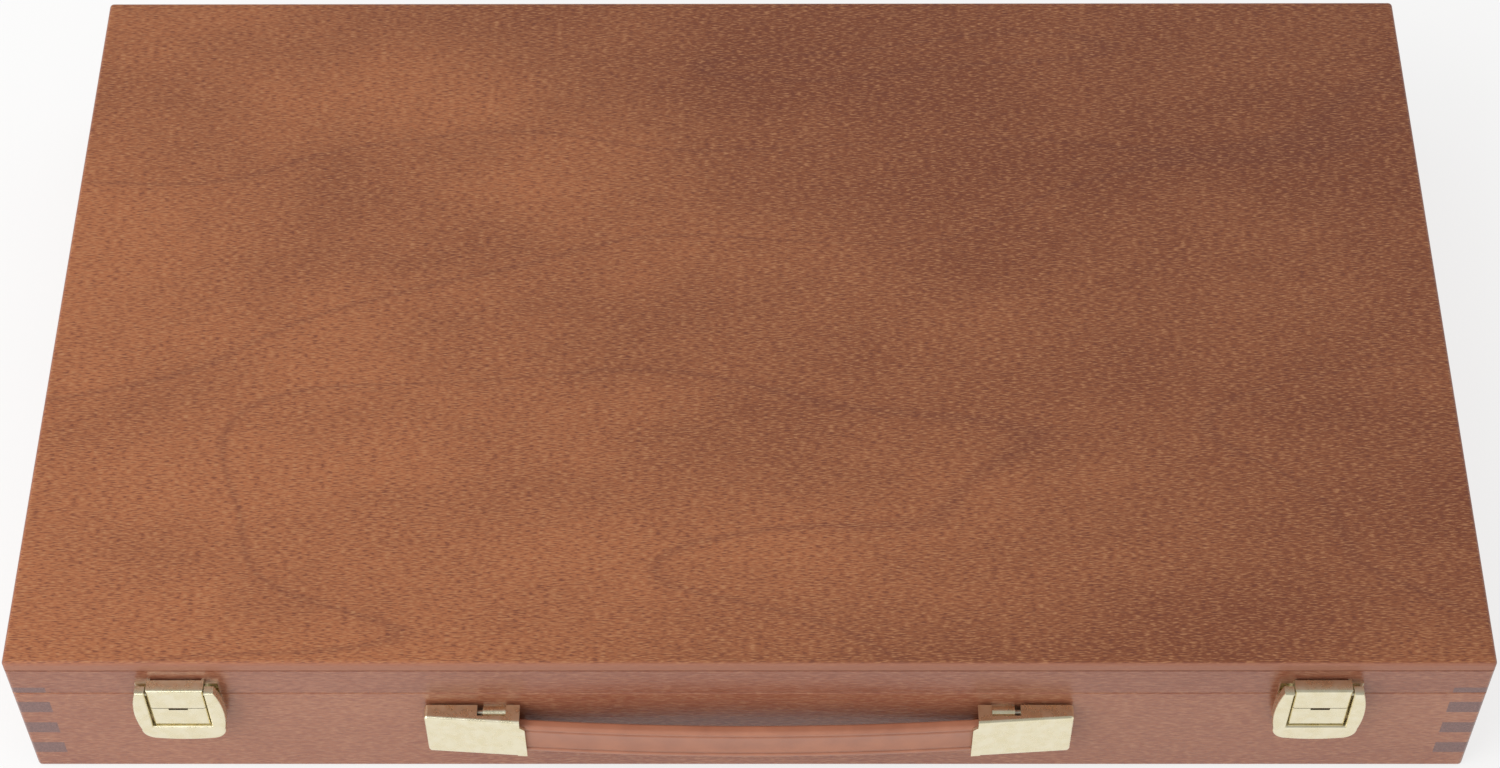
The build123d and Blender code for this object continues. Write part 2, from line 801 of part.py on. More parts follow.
def base_nodes():
    """The base's boards, bottom and dividers."""
    spans = finger_spans()
    front = long_board(-1, 0, parting, spans)
    back = long_board(1, 0, parting, spans)
    both = front + back
    raw = {
        "base_front_board": front,
        "base_back_board": back,
        "base_left_board": side_board(-1, 0, parting, both),
        "base_right_board": side_board(1, 0, parting, both),
    }
    inner = dividers()
    cuts = {name: [bottom_panel(), back_bevel(-1)] for name in raw}
    for x in hinge_xs().values():
        cuts["base_back_board"].append(Pos(x, 0, 0) * hinge_pocket(-1))
    for x in latch_xs().values():
        cuts["base_front_board"] += [
            Pos(x, 0, 0) * latch_base_screw(screw_x, screw_clearance) for screw_x in latch_screw_xs()
        ]
    for side in SIDES.values():
        for x, z in mount_screw_places():
            cuts["base_front_board"].append(mount_screw(side * x, z, screw_clearance))
    for name in ("cross_divider_left", "cross_divider_right"):
        cuts["base_front_board"].append(inner[name])
    for y in divider_places():
        cuts["base_left_board"].append(long_divider(y))
        cuts["base_right_board"].append(long_divider(y))
    envelope = base_envelope()
    nodes = {}
    for name, board in raw.items():
        board = board & envelope
        for cut in cuts[name]:
            board -= cut
        nodes[name] = [board]
    nodes["base_bottom_panel"] = [bottom_panel()]
    nodes.update({name: [shape] for name, shape in inner.items()})
    return nodes


def lid_nodes():
    """The lid's rails, top, palette and what holds the palette."""
    spans = [(parting, parting + lid_finger_height)]
    front = long_board(-1, parting, panel_under, spans)
    back = long_board(1, parting, panel_under, spans)
    both = front + back
    raw = {
        "lid_front_rail": front,
        "lid_back_rail": back,
        "lid_left_rail": side_board(-1, parting, panel_under, both),
        "lid_right_rail": side_board(1, parting, panel_under, both),
    }
    cuts = {name: [back_bevel(1)] for name in raw}
    for x in hinge_xs().values():
        cuts["lid_back_rail"].append(Pos(x, 0, 0) * hinge_pocket(1))
    for x in latch_xs().values():
        cuts["lid_front_rail"] += [
            Pos(x, 0, 0) * latch_lid_screw(screw_x, screw_clearance) for screw_x in latch_screw_xs()
        ]
    envelope = lid_envelope()
    nodes = {}
    for name, board in raw.items():
        board = board & envelope
        for cut in cuts[name]:
            board -= cut
        nodes[name] = [board]
    nodes["lid_top_panel"] = [top_panel()]
    nodes["palette"] = [palette()]
    for name, side in SIDES.items():
        nodes[f"palette_spacer_{name}"] = [palette_spacer(side)]
        nodes[f"palette_block_{name}"] = [palette_block(side)]
        nodes[f"turn_button_{name}"] = [turn_button(side)]
    nodes["turn_button_screws"] = [turn_screw(side) for side in SIDES.values()]
    return nodes


def hinge_nodes():
    """Both hinges: two leaves and a pin each, and their screws."""
    nodes = {}
    half = hinge_leaf_length / 2
    for name, x in hinge_xs().items():
        nodes[f"hinge_base_leaf_{name}"] = [Pos(x, 0, 0) * hinge_leaf(-1, 0)]
        nodes[f"hinge_lid_leaf_{name}"] = [Pos(x, 0, 0) * hinge_leaf(1, 1)]
        nodes[f"hinge_pin_{name}"] = [Pos(x, 0, 0) * rod_x(hinge_pin_radius, -half, half, hinge_y, parting)]
    for name, direction in (("base", -1), ("lid", 1)):
        nodes[f"hinge_{name}_screws"] = [
            Pos(x, 0, 0) * hinge_screw(screw_x, direction)
            for x in hinge_xs().values()
            for screw_x in hinge_screw_xs()
        ]
    return nodes


def latch_nodes():
    """Both latches: two housings, a bail and a pin each, and their screws."""
    nodes = {}
    for name, x in latch_xs().items():
        nodes[f"latch_lid_plate_{name}"] = [Pos(x, 0, 0) * latch_lid_plate()]
        nodes[f"latch_base_plate_{name}"] = [Pos(x, 0, 0) * latch_base_plate()]
        nodes[f"latch_bail_{name}"] = [Pos(x, 0, 0) * latch_bail()]
        nodes[f"latch_pin_{name}"] = [Pos(x, 0, 0) * pin for pin in bail_pins()]
    for name, screw in (("lid", latch_lid_screw), ("base", latch_base_screw)):
        nodes[f"latch_{name}_screws"] = [
            Pos(x, 0, 0) * screw(screw_x) for x in latch_xs().values() for screw_x in latch_screw_xs()
        ]
    return nodes


def handle_nodes():
    """The handle's strap, caps, pins, mounts and screws."""
    nodes = {"handle_strap": [handle_strap()]}
    for name, side in SIDES.items():
        nodes[f"handle_cap_{name}"] = [mirror_side(handle_cap(), side)]
        nodes[f"handle_pin_{name}"] = [mirror_side(handle_pin(), side)]
        nodes[f"handle_mount_{name}"] = [mirror_side(handle_mount(), side)]
    nodes["handle_screws"] = [
        mount_screw(side * x, z) for side in SIDES.values() for x, z in mount_screw_places()
    ]
    return nodes


def main():
    os.makedirs("parts", exist_ok=True)
    nodes = {}
    for group in (base_nodes, lid_nodes, hinge_nodes, latch_nodes, handle_nodes):
        nodes.update(group())
    for name, shapes in nodes.items():
        save(shapes, name)
    print(len(nodes), "nodes, box height", box_top)


main()
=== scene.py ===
# %% [markdown]
# A wooden oil paint box, seen from above its front edge. The joiner's work (boards, hinges, latches,
# handle) comes in as a fixed frame. This script gives each of those parts its finish, and models again
# the one piece whose soft, moulded outline wants more than a machined solid: the handle's strap.

# %% Load the frame
import math

import bmesh
import bpy
from mathutils import Matrix, Vector


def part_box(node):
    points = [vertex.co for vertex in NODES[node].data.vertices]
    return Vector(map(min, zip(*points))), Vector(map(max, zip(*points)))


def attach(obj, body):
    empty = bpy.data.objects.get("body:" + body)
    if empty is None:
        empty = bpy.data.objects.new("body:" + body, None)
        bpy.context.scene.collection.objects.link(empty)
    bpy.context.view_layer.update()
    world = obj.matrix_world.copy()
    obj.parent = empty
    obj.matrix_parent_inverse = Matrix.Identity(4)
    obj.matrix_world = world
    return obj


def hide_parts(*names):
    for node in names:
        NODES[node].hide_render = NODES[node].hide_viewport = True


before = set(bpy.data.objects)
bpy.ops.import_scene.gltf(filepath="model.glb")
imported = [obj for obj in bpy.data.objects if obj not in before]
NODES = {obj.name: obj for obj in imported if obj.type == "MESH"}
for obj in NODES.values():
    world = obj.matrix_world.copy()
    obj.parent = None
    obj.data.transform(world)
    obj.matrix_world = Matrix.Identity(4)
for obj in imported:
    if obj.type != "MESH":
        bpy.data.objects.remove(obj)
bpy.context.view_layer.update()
MM = 0.001
print(len(NODES), "nodes from the frame")

# %% [markdown]
# The camera comes first, because every later choice is judged through it. The lens and place were worked
# out from the corners of the case: a long lens, almost level with the middle of the box from side to
# side, and looking down steeply, so the lid fills the picture and the front is a narrow band.

# %% Camera
SENSOR_WIDTH_MM = 36.0
LENS_MM = 75.45
CAMERA_PLACE = Vector((0.0042, -0.5546, 0.7769))
CAMERA_TURN = math.radians(0.437)
CAMERA_DOWN = math.radians(53.867)
CAMERA_ROLL = math.radians(-0.383)

camera_data = bpy.data.cameras.new("camera")
camera_data.sensor_width = SENSOR_WIDTH_MM
camera_data.lens = LENS_MM
camera_data.clip_start = 0.01
camera = bpy.data.objects.new("camera", camera_data)
bpy.context.scene.collection.objects.link(camera)
camera.matrix_world = (
    Matrix.Translation(CAMERA_PLACE)
    @ Matrix.Rotation(CAMERA_TURN, 4, "Z")
    @ Matrix.Rotation(math.pi / 2 - CAMERA_DOWN, 4, "X")
    @ Matrix.Rotation(CAMERA_ROLL, 4, "Z")
)
bpy.context.scene.camera = camera
bpy.context.scene.view_settings.view_transform = "Standard"
print("camera lens", LENS_MM, "mm, looking down", round(math.degrees(CAMERA_DOWN), 1), "degrees")

# %% [markdown]
# Two small helpers carry all the materials. Colours are written as the sRGB hex values that one reads
# off a screen, and Blender's sockets want linear light, so one function turns them. The other adds a
# node, gives it its settings and joins its inputs, so that a material reads from top to bottom.


# %% Colour and node helpers
def linear(hex_colour):
    """Turns "#rrggbb" into the linear colour that a socket takes."""
    parts = [int(hex_colour[i : i + 2], 16) / 255 for i in (1, 3, 5)]
    return [c / 12.92 if c <= 0.04045 else ((c + 0.055) / 1.055) ** 2.4 for c in parts] + [1.0]


def add(tree, kind, settings=None, links=None):
    """Adds a node. A setting is an attribute's name, or else a socket's name or number."""
    node = tree.nodes.new(kind)
    for key, value in (settings or {}).items():
        if isinstance(key, str) and hasattr(node, key):
            setattr(node, key, value)
        else:
            node.inputs[key].default_value = value
    for key, source in (links or {}).items():
        tree.links.new(source, node.inputs[key])
    return node


def new_material(name):
    """A material with an empty tree, its Principled shader and its object coordinates."""
    material = bpy.data.materials.new(name)
    material.use_nodes = True
    tree = material.node_tree
    tree.nodes.clear()
    shader = add(tree, "ShaderNodeBsdfPrincipled")
    add(tree, "ShaderNodeOutputMaterial", links={"Surface": shader.outputs[0]})
    place = add(tree, "ShaderNodeTexCoord")
    return material, tree, shader, place


# %% [markdown]
# The studio is a white floor under an even white sky, with one large soft lamp behind the left shoulder.
# Rays that go straight from the camera, or off metal and varnish, see the floor and the low sky as white.
# High up the sky is dimmer for reflections only, as a studio ceiling is, so the varnished lid keeps its
# depth. Nothing here adds light to the object itself.

# %% Sky, floor and lamp
SKY_LEVEL = 0.72
CEILING_LEVEL = 0.42
CEILING_HEIGHTS = (0.25, 0.75)
WHITE = (1, 1, 1, 1)
BLACK = (0, 0, 0, 1)
FLOOR_SIZE = 8.0
FLOOR_GLOW = 0.72
LAMP_SIZE = 1.0
LAMP_WATTS = 7.5
LAMP_PLACE = (-0.8, -0.5, 0.8)

world = bpy.data.worlds.new("studio")
bpy.context.scene.world = world
world.use_nodes = True
sky = world.node_tree
sky.nodes.clear()
path = add(sky, "ShaderNodeLightPath")
direction = add(sky, "ShaderNodeTexCoord")
height = add(sky, "ShaderNodeSeparateXYZ", links={0: direction.outputs["Generated"]})
ceiling = add(
    sky,
    "ShaderNodeMapRange",
    {
        "interpolation_type": "SMOOTHSTEP",
        1: CEILING_HEIGHTS[0],
        2: CEILING_HEIGHTS[1],
        3: 1.0,
        4: CEILING_LEVEL,
    },
    {0: height.outputs["Z"]},
)
bounced = add(sky, "ShaderNodeBackground", {"Color": WHITE, "Strength": SKY_LEVEL})
mirrored = add(
    sky, "ShaderNodeBackground", {"Color": WHITE}, {"Strength": ceiling.outputs[0]}
)
seen = add(sky, "ShaderNodeBackground", {"Color": WHITE, "Strength": 1.0})
soft = add(
    sky,
    "ShaderNodeMixShader",
    links={0: path.outputs["Is Glossy Ray"], 1: bounced.outputs[0], 2: mirrored.outputs[0]},
)
straight = add(
    sky,
    "ShaderNodeMath",
    {"operation": "MAXIMUM"},
    {0: path.outputs["Is Camera Ray"], 1: path.outputs["Is Transmission Ray"]},
)
shown = add(
    sky,
    "ShaderNodeMixShader",
    links={0: straight.outputs[0], 1: soft.outputs[0], 2: seen.outputs[0]},
)
add(sky, "ShaderNodeOutputWorld", links={0: shown.outputs[0]})

floor_mesh = bpy.data.meshes.new("floor")
floor_bm = bmesh.new()
bmesh.ops.create_grid(floor_bm, x_segments=1, y_segments=1, size=FLOOR_SIZE / 2)
floor_bm.to_mesh(floor_mesh)
floor_bm.free()
floor = bpy.data.objects.new("floor", floor_mesh)
bpy.context.scene.collection.objects.link(floor)

floor_material = bpy.data.materials.new("white_studio_paper")
floor_material.use_nodes = True
paper = floor_material.node_tree
paper.nodes.clear()
path = add(paper, "ShaderNodeLightPath")
white_rays = add(
    paper,
    "ShaderNodeMath",
    {"operation": "MAXIMUM"},
    {0: path.outputs["Is Camera Ray"], 1: path.outputs["Is Glossy Ray"]},
)
glow_share = add(
    paper, "ShaderNodeMath", {"operation": "MULTIPLY", 1: FLOOR_GLOW}, {0: white_rays.outputs[0]}
)
matt = add(paper, "ShaderNodeBsdfDiffuse", {"Color": linear("#f4f3f1")})
glow = add(paper, "ShaderNodeEmission", {"Color": WHITE, "Strength": 1.0})
surface = add(
    paper,
    "ShaderNodeMixShader",
    links={0: glow_share.outputs[0], 1: matt.outputs[0], 2: glow.outputs[0]},
)
add(paper, "ShaderNodeOutputMaterial", links={0: surface.outputs[0]})
floor_mesh.materials.append(floor_material)

lamp_data = bpy.data.lights.new("softbox", "AREA")
lamp_data.size = LAMP_SIZE
lamp_data.energy = LAMP_WATTS
lamp = bpy.data.objects.new("softbox", lamp_data)
bpy.context.scene.collection.objects.link(lamp)
lamp.location = LAMP_PLACE
lamp.rotation_mode = "QUATERNION"
lamp.rotation_quaternion = (-lamp.location).to_track_quat("-Z", "Y")
print("lamp", LAMP_WATTS, "W at", LAMP_PLACE)

# %% [markdown]
# The case is a close-grained hardwood, stained reddish brown and sprayed with a satin varnish. Such a
# surface has four scales of pattern: a broad drift of tone along the board, the cut rings of the tree,
# fine fibres, and short flecks where the stain gathers in pores. Each is noise stretched along the grain,
# and its stretch is a length and a width in millimetres. Where a face looks along the grain, as on the
# ends of the finger joints, the wood is cut across, takes more stain and shows dots in place of streaks.
# The front board is painted paler than the rest, as a painted reflection of the white floor, and the lid's
# veneer is painted lighter at its near left corner, as painted light from the lamp.

# %% Wood
AXES = "XYZ"
FIBRE_MM = (7.0, 0.4)
FLECK_MM = (2.0, 0.3)
DRIFT_MM = (105.0, 60.0)
RING_MM = (210.0, 80.0)
RING_COUNT = 8.0
RING_WIDTH = 0.06
FIBRE_WEIGHT = 0.22
TONE_STOPS = (0.26, 0.5, 0.74)
DARK_FLECK_STOPS = (0.36, 0.47)
LIGHT_FLECK_STOPS = (0.54, 0.66)
END_PORE_MM = 0.8
END_PORE_STOPS = (0.35, 0.65)
END_PORE_SHADE = (0.72, 0.72, 0.72, 1)
FLECK_RELIEF = 0.6
GRAIN_RELIEF_MM = 0.12
GRAIN_RELIEF_STRENGTH = 0.35
VARNISH_IOR = 1.5
NOISE_MIDDLE = {1: 0.3, 2: 0.7}


def stretched(tree, place, along, size_mm, detail, seed):
    """Noise whose grains are size_mm long along the grain and across it."""
    scale = [1 / (size_mm[1] * MM)] * 3
    scale[AXES.index(along)] = 1 / (size_mm[0] * MM)
    mapping = add(
        tree,
        "ShaderNodeMapping",
        {"Scale": scale, "Location": (seed, seed * 0.7, seed * 1.3)},
        {0: place.outputs["Object"]},
    )
    return add(
        tree,
        "ShaderNodeTexNoise",
        {"Scale": 1.0, "Detail": detail, "Roughness": 0.55},
        {"Vector": mapping.outputs[0]},
    ).outputs[0]


def ramp(tree, source, stops):
    """A colour ramp with (position, colour) stops."""
    node = add(tree, "ShaderNodeValToRGB", links={0: source})
    elements = node.color_ramp.elements
    while len(elements) < len(stops):
        elements.new(0.5)
    for element, (position, colour) in zip(elements, stops):
        element.position = position
        element.color = colour if len(colour) == 4 else linear(colour)
    return node.outputs[0]


def facing(tree, place, axis, low=0.55, high=0.85):
    """1 on faces that look along an axis, and 0 on the others."""
    split = add(tree, "ShaderNodeSeparateXYZ", links={0: place.outputs["Normal"]})
    size = add(tree, "ShaderNodeMath", {"operation": "ABSOLUTE"}, {0: split.outputs[axis]})
    mask = add(tree, "ShaderNodeMapRange", {1: low, 2: high}, {0: size.outputs[0]})
    return mask.outputs[0]


def wood(name, along, tones, fleck_tones, end_tone, seed, rings, roughness, fleck_share=0.5, edge=None,
         painted_light_lean=()):
    """Varnished wood with its grain along one axis. tones run from dark to light.

    rings and fleck_share are how strongly the rings and the flecks show. edge is the axis that a panel's
    faces look along, its edges' tone and its share. The last argument is painted light: how much darker
    or lighter the tone gets along X and Y, per metre, so that the side towards the lamp is lighter.
    """
    material, tree, shader, place = new_material(name)
    drift = stretched(tree, place, along, DRIFT_MM, 3.0, seed)
    fibre = stretched(tree, place, along, FIBRE_MM, 2.0, seed + 3)
    fleck = stretched(tree, place, along, FLECK_MM, 1.0, seed + 7)
    ring_noise = stretched(tree, place, along, RING_MM, 1.0, seed + 11)
    fibre_share = add(
        tree,
        "ShaderNodeMath",
        {"operation": "MULTIPLY_ADD", 1: FIBRE_WEIGHT, 2: -FIBRE_WEIGHT / 2},
        {0: fibre},
    )
    broad = add(tree, "ShaderNodeMath", {"operation": "ADD"}, {0: drift, 1: fibre_share.outputs[0]})
    spot = add(tree, "ShaderNodeSeparateXYZ", links={0: place.outputs["Object"]})
    # Painted light: the tone is shifted along X and Y, lighter towards the lamp and darker away from it.
    for axis, slope in enumerate(painted_light_lean):
        broad = add(
            tree,
            "ShaderNodeMath",
            {"operation": "MULTIPLY_ADD", 1: slope},
            {0: spot.outputs[axis], 2: broad.outputs[0]},
        )
    plain = ramp(tree, broad.outputs[0], list(zip(TONE_STOPS, tones)))
    ring_phase = add(
        tree, "ShaderNodeMath", {"operation": "MULTIPLY", 1: RING_COUNT}, {0: ring_noise}
    )
    ring = add(tree, "ShaderNodeMath", {"operation": "PINGPONG", 1: 1.0}, {0: ring_phase.outputs[0]})
    ring_line = add(
        tree, "ShaderNodeMapRange", {1: 0.0, 2: RING_WIDTH, 3: rings, 4: 0.0}, {0: ring.outputs[0]}
    )
    ringed = add(
        tree,
        "ShaderNodeMix",
        {"data_type": "RGBA", 7: linear(fleck_tones[0])},
        {0: ring_line.outputs[0], 6: plain},
    )
    base = ringed.outputs[2]
    dark_mask = ramp(tree, fleck, list(zip(DARK_FLECK_STOPS, (WHITE, BLACK))))
    light_mask = ramp(tree, fleck, list(zip(LIGHT_FLECK_STOPS, (BLACK, WHITE))))
    dark_share = add(tree, "ShaderNodeMath", {"operation": "MULTIPLY", 1: fleck_share}, {0: dark_mask})
    light_share = add(tree, "ShaderNodeMath", {"operation": "MULTIPLY", 1: fleck_share}, {0: light_mask})
    with_dark = add(
        tree,
        "ShaderNodeMix",
        {"data_type": "RGBA", 7: linear(fleck_tones[0])},
        {0: dark_share.outputs[0], 6: base},
    )
    with_light = add(
        tree,
        "ShaderNodeMix",
        {"data_type": "RGBA", 7: linear(fleck_tones[1])},
        {0: light_share.outputs[0], 6: with_dark.outputs[2]},
    )
    colour = with_light.outputs[2]
    if edge:
        edge_axis, edge_tone, edge_share = edge
        flat = facing(tree, place, edge_axis)
        away = add(
            tree, "ShaderNodeMapRange", {1: 0.0, 2: 1.0, 3: edge_share, 4: 0.0}, {0: flat}
        )
        edged = add(
            tree,
            "ShaderNodeMix",
            {"data_type": "RGBA", 7: linear(edge_tone)},
            {0: away.outputs[0], 6: colour},
        )
        colour = edged.outputs[2]
    end_mask = facing(tree, place, along)
    end_pores = add(
        tree,
        "ShaderNodeTexNoise",
        {"Scale": 1 / (END_PORE_MM * MM), "Detail": 2.0},
        {"Vector": place.outputs["Object"]},
    )
    end_shade = ramp(tree, end_pores.outputs[0], list(zip(END_PORE_STOPS, (END_PORE_SHADE, WHITE))))
    end_colour = add(
        tree,
        "ShaderNodeMix",
        {"data_type": "RGBA", "blend_type": "MULTIPLY", 0: 1.0, 6: linear(end_tone)},
        {7: end_shade},
    )
    final = add(
        tree,
        "ShaderNodeMix",
        {"data_type": "RGBA"},
        {0: end_mask, 6: colour, 7: end_colour.outputs[2]},
    )
    gloss = add(
        tree,
        "ShaderNodeMapRange",
        {**NOISE_MIDDLE, 3: roughness[0], 4: roughness[1]},
        {0: fibre},
    )
    relief = add(
        tree, "ShaderNodeMath", {"operation": "MULTIPLY_ADD", 1: FLECK_RELIEF}, {0: fleck, 2: fibre}
    )
    bump = add(
        tree,
        "ShaderNodeBump",
        {"Strength": GRAIN_RELIEF_STRENGTH, "Distance": GRAIN_RELIEF_MM * MM},
        {"Height": relief.outputs[0]},
    )
    tree.links.new(final.outputs[2], shader.inputs["Base Color"])
    tree.links.new(gloss.outputs[0], shader.inputs["Roughness"])
    tree.links.new(bump.outputs[0], shader.inputs["Normal"])
    shader.inputs["IOR"].default_value = VARNISH_IOR
    return material


CASE_TONES = ("#8d5540", "#965d46", "#9f664e")
CASE_FLECKS = ("#7c4632", "#b58063")
CASE_END = "#84605a"
CASE_GLOSS = (0.2, 0.3)
case_wood_x = wood("satin_varnished_hardwood_long", "X", CASE_TONES, CASE_FLECKS, CASE_END, 1.0,
                   rings=0.2, roughness=CASE_GLOSS)
case_wood_y = wood("satin_varnished_hardwood_side", "Y", CASE_TONES, CASE_FLECKS, CASE_END, 5.0,
                   rings=0.2, roughness=CASE_GLOSS)
# The front board's tones are painted paler than the case's: a painted reflection of the white floor on its
# upright face.
front_wood_painted_pale = wood("satin_varnished_hardwood_front_painted_pale", "X", ("#965b43", "#a1664a", "#ac7154"),
                  ("#84493a", "#c08c6c"), CASE_END, 2.0, rings=0.2, roughness=CASE_GLOSS)
lid_veneer = wood(
    "satin_varnished_veneer",
    "X",
    ("#7c4020", "#91532f", "#a8643b"),
    ("#683220", "#b67f55"),
    "#9b6553",
    9.0,
    rings=0.34,
    roughness=(0.42, 0.54),
    fleck_share=0.7,
    edge=("Z", "#a46c55", 0.8),
    # Painted light: the veneer is painted lighter at its near left corner, towards the lamp, and darker to
    # the right and back.
    painted_light_lean=(-0.9, -1.2),
)
print("flecks", FLECK_MM, "mm and rings", RING_MM, "mm apart along and across the grain")

# %% [markdown]
# The dividers, the bottom and the palette are plywood. Its faces show one veneer, and its edges show the
# stack of plies as thin stripes, light and dark by turns, because every second ply is end grain.

# %% Plywood
PLY_MM = 1.0


def plywood(name, along, thickness_axis, tones, stripe_tones, seed, roughness=(0.45, 0.6)):
    """Sealed plywood: wood on its faces and a stack of plies on its edges."""
    material = wood(name, along, tones, (tones[0], tones[2]), stripe_tones[1], seed, rings=0.5,
                    roughness=roughness, fleck_share=0.35)
    tree = material.node_tree
    shader = next(n for n in tree.nodes if n.type == "BSDF_PRINCIPLED")
    place = next(n for n in tree.nodes if n.type == "TEX_COORD")
    faces = shader.inputs["Base Color"].links[0].from_socket
    split = add(tree, "ShaderNodeSeparateXYZ", links={0: place.outputs["Object"]})
    layer = add(
        tree,
        "ShaderNodeMath",
        {"operation": "DIVIDE", 1: PLY_MM * MM},
        {0: split.outputs[thickness_axis]},
    )
    wave = add(tree, "ShaderNodeMath", {"operation": "PINGPONG", 1: 1.0}, {0: layer.outputs[0]})
    stripes = ramp(tree, wave.outputs[0], [(0.42, stripe_tones[0]), (0.58, stripe_tones[1])])
    on_face = facing(tree, place, thickness_axis)
    mixed = add(tree, "ShaderNodeMix", {"data_type": "RGBA"}, {0: on_face, 6: stripes, 7: faces})
    tree.links.new(mixed.outputs[2], shader.inputs["Base Color"])
    return material


PLY_TONES = ("#b98f63", "#c9a173", "#d8b488")
PLY_STRIPES = ("#d2ab7c", "#9a7046")
ply_lying = plywood("sealed_plywood_lying", "X", "Z", PLY_TONES, PLY_STRIPES, 13.0)
ply_long = plywood("sealed_plywood_long", "X", "Y", PLY_TONES, PLY_STRIPES, 17.0)
ply_cross = plywood("sealed_plywood_cross", "Y", "X", PLY_TONES, PLY_STRIPES, 19.0)
palette_ply = plywood(
    "oiled_palette_plywood", "X", "Z", ("#9c6a3f", "#b07a4a", "#c18b58"), ("#b98a58", "#7d5230"), 23.0,
    roughness=(0.36, 0.5),
)

# %% [markdown]
# The latches, caps and hinges are thin steel sheet, pressed, polished and plated with brass, then
# lacquered. That leaves a pale champagne gold with a soft sheen, which is all reflection: the white floor
# in the upright faces, brown wood in those that look up at the wall. Faint uneven plating and handling
# marks break the sheen, so that it doesn't look like coloured glass. The satin's real texture is finer
# than a pixel, so it is drawn at a quarter of a millimetre, and kept faint.


# %% Metal
SATIN_MM = 0.25
SATIN_STRENGTH = 0.03


def metal(name, tones, roughness, patch_mm=3.0, relief_mm=0.03):
    """Plated metal, with patches of tone and a fine satin texture."""
    material, tree, shader, place = new_material(name)
    patches = add(
        tree,
        "ShaderNodeTexNoise",
        {"Scale": 1 / (patch_mm * MM), "Detail": 3.0},
        {"Vector": place.outputs["Object"]},
    )
    fine = add(
        tree,
        "ShaderNodeTexNoise",
        {"Scale": 1 / (SATIN_MM * MM), "Detail": 2.0},
        {"Vector": place.outputs["Object"]},
    )
    colour = ramp(tree, patches.outputs[0], [(0.35, tones[0]), (0.65, tones[1])])
    gloss = add(
        tree,
        "ShaderNodeMapRange",
        {**NOISE_MIDDLE, 3: roughness[0], 4: roughness[1]},
        {0: patches.outputs[0]},
    )
    bump = add(
        tree,
        "ShaderNodeBump",
        {"Strength": SATIN_STRENGTH, "Distance": relief_mm * MM},
        {"Height": fine.outputs[0]},
    )
    tree.links.new(colour, shader.inputs["Base Color"])
    tree.links.new(gloss.outputs[0], shader.inputs["Roughness"])
    tree.links.new(bump.outputs[0], shader.inputs["Normal"])
    shader.inputs["Metallic"].default_value = 1.0
    return material


brass = metal("satin_brass_plated_steel", ("#e9dfbd", "#f0e8cc"), (0.24, 0.32), relief_mm=0.012)
brass_fastener = metal("brass_plated_screw", ("#d2b873", "#e2cc8c"), (0.28, 0.38), patch_mm=1.0)
steel_wire = metal("drawn_steel_wire", ("#b9b4a4", "#cbc6b6"), (0.3, 0.42), patch_mm=1.5)

# %% [markdown]
# The strap is a soft moulded plastic, coloured to go with the wood. Moulding leaves it smooth, with a
# satin sheen and a barely uneven tone, and its two beads are part of the shape, not of the material.

# %% Moulded strap
CLOUD_MM = 7.0
GRIT_MM = 0.5
SKIN_RELIEF_MM = 0.04
SKIN_STRENGTH = 0.2
STRAP_TONES = ("#a56b52", "#b5785c")
STRAP_GLOSS = (0.34, 0.42)

strap_plastic, tree, shader, place = new_material("moulded_brown_plastic")
cloud = add(
    tree,
    "ShaderNodeTexNoise",
    {"Scale": 1 / (CLOUD_MM * MM), "Detail": 4.0},
    {"Vector": place.outputs["Object"]},
)
grit = add(
    tree,
    "ShaderNodeTexNoise",
    {"Scale": 1 / (GRIT_MM * MM), "Detail": 1.0},
    {"Vector": place.outputs["Object"]},
)
tone = ramp(tree, cloud.outputs[0], list(zip(NOISE_MIDDLE.values(), STRAP_TONES)))
skin = add(
    tree,
    "ShaderNodeBump",
    {"Strength": SKIN_STRENGTH, "Distance": SKIN_RELIEF_MM * MM},
    {"Height": grit.outputs[0]},
)
sheen = add(
    tree,
    "ShaderNodeMapRange",
    {**NOISE_MIDDLE, 3: STRAP_GLOSS[0], 4: STRAP_GLOSS[1]},
    {0: cloud.outputs[0]},
)
tree.links.new(tone, shader.inputs["Base Color"])
tree.links.new(skin.outputs[0], shader.inputs["Normal"])
tree.links.new(sheen.outputs[0], shader.inputs["Roughness"])

# %% [markdown]
# Every part from the frame now gets its material. The names of the parts say what they are, so a short
# list of beginnings is enough.

# %% Finishes on the frame's parts
FINISHES = {
    "base_front": front_wood_painted_pale,
    "base_back": case_wood_x,
    "lid_front": case_wood_x,
    "lid_back": case_wood_x,
    "base_left": case_wood_y,
    "base_right": case_wood_y,
    "lid_left": case_wood_y,
    "lid_right": case_wood_y,
    "lid_top": lid_veneer,
    "base_bottom": ply_lying,
    "long_divider": ply_long,
    "cross_divider": ply_cross,
    "palette_spacer": ply_lying,
    "palette_block": ply_lying,
    "palette": palette_ply,
    "hinge_base_leaf": brass,
    "hinge_lid_leaf": brass,
    "latch_lid_plate": brass,
    "latch_base_plate": brass,
    "latch_bail": brass,
    "handle_cap": brass,
    "handle_mount": brass,
    "turn_button_screws": brass_fastener,
    "turn_button": brass,
    "hinge_pin": steel_wire,
    "latch_pin": steel_wire,
    "handle_pin": steel_wire,
    "hinge_base_screws": brass_fastener,
    "hinge_lid_screws": brass_fastener,
    "latch_base_screws": brass_fastener,
    "latch_lid_screws": brass_fastener,
    "handle_screws": brass_fastener,
    "handle_strap": strap_plastic,
}
for node_name, part in NODES.items():
    beginning = next(b for b in FINISHES if node_name.startswith(b))
    part.data.materials.clear()
    part.data.materials.append(FINISHES[beginning])
print("finishes on", len(NODES), "parts")

# %% [markdown]
# A modelled piece starts as a bmesh. One helper draws its flat section, and another turns the finished
# bmesh into an object that moves with its part of the box and takes the place of the frame's parts.


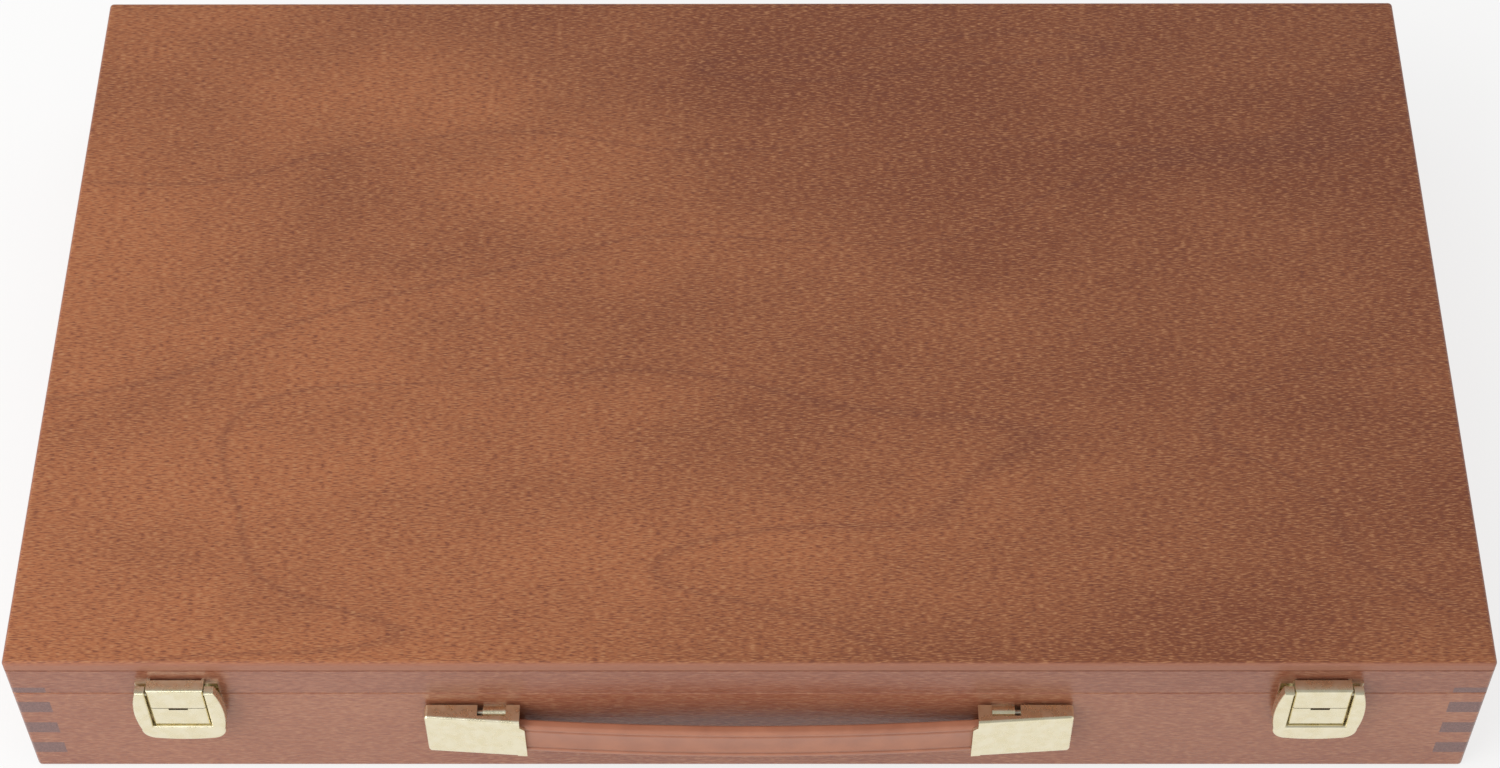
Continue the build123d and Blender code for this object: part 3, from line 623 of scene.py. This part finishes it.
# %% Shared modelling helpers
def finish_piece(name, bm, material, body, slot, *nodes):
    """Turns a bmesh into an object that rides on a body and stands for frame parts."""
    bmesh.ops.remove_doubles(bm, verts=bm.verts, dist=0.001 * MM)
    bmesh.ops.recalc_face_normals(bm, faces=bm.faces)
    for face in bm.faces:
        face.smooth = True
    mesh = bpy.data.meshes.new(name)
    bm.to_mesh(mesh)
    bm.free()
    mesh.materials.append(material)
    piece = bpy.data.objects.new(name, mesh)
    bpy.context.scene.collection.objects.link(piece)
    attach(piece, body)
    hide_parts(*nodes)
    print(name, len(mesh.polygons), "faces")


def outline_face(bm, points):
    """One flat face through the points, which are (x, y, z) in millimetres."""
    return bm.faces.new([bm.verts.new(Vector(point) * MM) for point in points])


# %% [markdown]
# The strap is moulded in one piece: flat behind, with a bead and a fine line along both long edges of its
# outer face. It is a constant section bent to a very large radius, so its section is drawn once, its
# corners are rounded with a vertex bevel, and a spin about the bend's far-off centre makes the rest.

# %% Strap
STRAP_HALF_THICK = 1.45
STRAP_BOW = 2.1
STRAP_BOW_HALF_LENGTH = 62.3
STRAP_HALF_LENGTH = 86.0
STRAP_STEPS = 56
BEAD_HEIGHT = 1.7
LINE_HEIGHT = 0.55
RIDGE_HEIGHT = 0.8
LINE_DEPTH = 0.38
FACE_DEPTH = 0.22
LINE_SLOPE = 0.1
FACE_STEP_SHARE = 0.4
EDGE_ROUND = 0.9
BEAD_ROUND = 0.35
ROUND_STEPS = 5

strap_low, strap_high = (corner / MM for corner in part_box("handle_strap"))
strap_radius = (STRAP_BOW_HALF_LENGTH**2 + STRAP_BOW**2) / (2 * STRAP_BOW)
front_y = strap_low.y
back_y = front_y + 2 * STRAP_HALF_THICK
bend_centre = Vector((0, front_y + STRAP_HALF_THICK + strap_radius, 0)) * MM
bend_angle = 2 * math.asin(STRAP_HALF_LENGTH / strap_radius)


def strap_edge(z, inward):
    """Section points from one long edge to the flat face. inward is 1 from the foot, -1 from the top."""
    heights = (0, BEAD_HEIGHT, BEAD_HEIGHT + LINE_SLOPE, BEAD_HEIGHT + LINE_HEIGHT)
    depths = (0, 0, LINE_DEPTH, LINE_DEPTH)
    points = [(0, front_y + d, z + inward * h) for h, d in zip(heights, depths)]
    ridge = BEAD_HEIGHT + LINE_HEIGHT
    points.append((0, front_y + FACE_DEPTH * FACE_STEP_SHARE, z + inward * (ridge + LINE_SLOPE)))
    points.append((0, front_y + FACE_DEPTH, z + inward * (ridge + RIDGE_HEIGHT)))
    return points


bm = bmesh.new()
section = strap_edge(strap_low.z, 1) + strap_edge(strap_high.z, -1)[::-1]
section += [(0, back_y, strap_high.z), (0, back_y, strap_low.z)]
face = outline_face(bm, section)
corners = list(face.verts)
rounded = [(0, EDGE_ROUND), (1, BEAD_ROUND), (-3, EDGE_ROUND), (-4, BEAD_ROUND), (-2, EDGE_ROUND),
           (-1, EDGE_ROUND)]
for index, radius in rounded:
    bmesh.ops.bevel(
        bm, geom=[corners[index]], offset=radius * MM, affect="VERTICES", segments=ROUND_STEPS, profile=0.5,
        material=-1,
    )
bmesh.ops.delete(bm, geom=list(bm.faces), context="FACES_ONLY")
bmesh.ops.rotate(
    bm, verts=bm.verts, cent=bend_centre, matrix=Matrix.Rotation(-bend_angle / 2, 3, "Z")
)
bmesh.ops.spin(
    bm, geom=list(bm.verts) + list(bm.edges), cent=bend_centre, axis=(0, 0, 1), angle=bend_angle,
    steps=STRAP_STEPS,
)
bmesh.ops.holes_fill(bm, edges=[e for e in bm.edges if e.is_boundary])
finish_piece("strap", bm, strap_plastic, "handle", "strap", "handle_strap")
